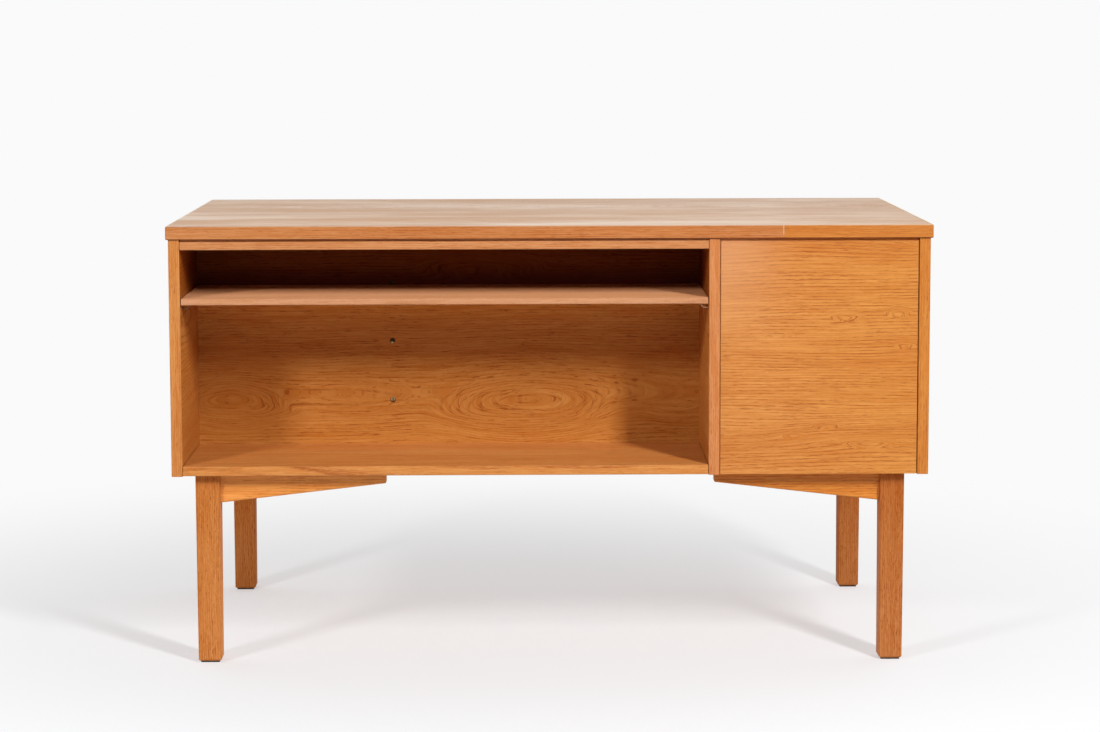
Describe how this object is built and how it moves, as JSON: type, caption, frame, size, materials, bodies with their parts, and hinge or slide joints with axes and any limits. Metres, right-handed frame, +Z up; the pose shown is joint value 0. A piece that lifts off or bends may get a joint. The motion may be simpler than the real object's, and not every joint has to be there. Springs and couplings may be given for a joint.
{
  "type": "writing desk",
  "caption": "Oak twin-pedestal writing desk with an open bookcase facing the visitor, drawers and a kneehole facing the sitter, on square legs with tapered brackets.",
  "frame": {"origin": "on the floor under the middle of the desk", "axes": "+X along the desk's width, -Y towards the visitor's side with the bookcase, +Y towards the sitter's side with the drawers, +Z up"},
  "size_m": [1.254, 0.66, 0.73],
  "materials": {
    "desktop_veneer": "worn satin oil",
    "oak_lipping": "satin lacquer",
    "oak_veneer": "satin lacquer",
    "oak_solid": "satin lacquer",
    "drawer_oak": "thin matt lacquer",
    "plywood": "thin matt lacquer",
    "beech": "bare wood",
    "brass": "dull brass",
    "steel": "zinc plated",
    "glide_plastic": "black moulded plastic"
  },
  "bodies": {
    "root": {"back_panel_screws": "brass", "bookcase_back_panel": "oak_veneer", "bookcase_bottom": "oak_veneer", "bookcase_top_rail": "oak_veneer", "case_dowels": "beech", "desktop_lipping_back": "oak_lipping", "desktop_lipping_front": "oak_lipping", "desktop_lipping_left": "oak_lipping", "desktop_lipping_right": "oak_lipping", "desktop_panel": "desktop_veneer", "divider_panel": "oak_veneer", "drawer_runners": "beech", "left_pedestal_bottom": "oak_veneer", "left_pedestal_side": "oak_veneer", "leg_bracket_front_left": "oak_solid", "leg_bracket_front_right": "oak_solid", "leg_bracket_rear_left": "oak_solid", "leg_bracket_rear_right": "oak_solid", "leg_front_left": "oak_solid", "leg_front_right": "oak_solid", "leg_glides": "glide_plastic", "leg_rear_left": "oak_solid", "leg_rear_right": "oak_solid", "pedestal_end_panel": "oak_veneer", "pedestal_rails": "oak_veneer", "right_pedestal_bottom": "oak_veneer", "runner_screws": "steel", "shelf_supports": "brass", "side_panel_left": "oak_veneer", "side_panel_right": "oak_veneer", "underframe_rail_left": "oak_solid", "underframe_rail_right": "oak_solid", "underframe_screws": "steel", "upright_edge_lippings": "oak_lipping"},
    "left_bottom_drawer": {"left_bottom_drawer_back": "drawer_oak", "left_bottom_drawer_bottom": "plywood", "left_bottom_drawer_front": "oak_veneer", "left_bottom_drawer_side_left": "drawer_oak", "left_bottom_drawer_side_right": "drawer_oak"},
    "left_middle_drawer": {"left_middle_drawer_back": "drawer_oak", "left_middle_drawer_bottom": "plywood", "left_middle_drawer_front": "oak_veneer", "left_middle_drawer_side_left": "drawer_oak", "left_middle_drawer_side_right": "drawer_oak"},
    "left_top_drawer": {"left_top_drawer_back": "drawer_oak", "left_top_drawer_bottom": "plywood", "left_top_drawer_front": "oak_veneer", "left_top_drawer_side_left": "drawer_oak", "left_top_drawer_side_right": "drawer_oak"},
    "right_file_drawer": {"right_file_drawer_back": "drawer_oak", "right_file_drawer_bottom": "plywood", "right_file_drawer_front": "oak_veneer", "right_file_drawer_side_left": "drawer_oak", "right_file_drawer_side_right": "drawer_oak"},
    "right_top_drawer": {"right_top_drawer_back": "drawer_oak", "right_top_drawer_bottom": "plywood", "right_top_drawer_front": "oak_veneer", "right_top_drawer_side_left": "drawer_oak", "right_top_drawer_side_right": "drawer_oak"},
    "bookcase_shelf": {"bookcase_shelf": "oak_veneer"}
  },
  "joints": [
    {"name": "left_bottom_drawer_slide", "type": "slide", "parent": "root", "child": "left_bottom_drawer", "axis": [0, 1, 0], "range_m": [0, 0.29]},
    {"name": "left_middle_drawer_slide", "type": "slide", "parent": "root", "child": "left_middle_drawer", "axis": [0, 1, 0], "range_m": [0, 0.29]},
    {"name": "left_top_drawer_slide", "type": "slide", "parent": "root", "child": "left_top_drawer", "axis": [0, 1, 0], "range_m": [0, 0.29]},
    {"name": "right_file_drawer_slide", "type": "slide", "parent": "root", "child": "right_file_drawer", "axis": [0, 1, 0], "range_m": [0, 0.46]},
    {"name": "right_top_drawer_slide", "type": "slide", "parent": "root", "child": "right_top_drawer", "axis": [0, 1, 0], "range_m": [0, 0.46]},
    {"name": "bookcase_shelf_slide", "type": "slide", "parent": "root", "child": "bookcase_shelf", "axis": [0, -1, 0], "range_m": [0, 0.08]}
  ]
}
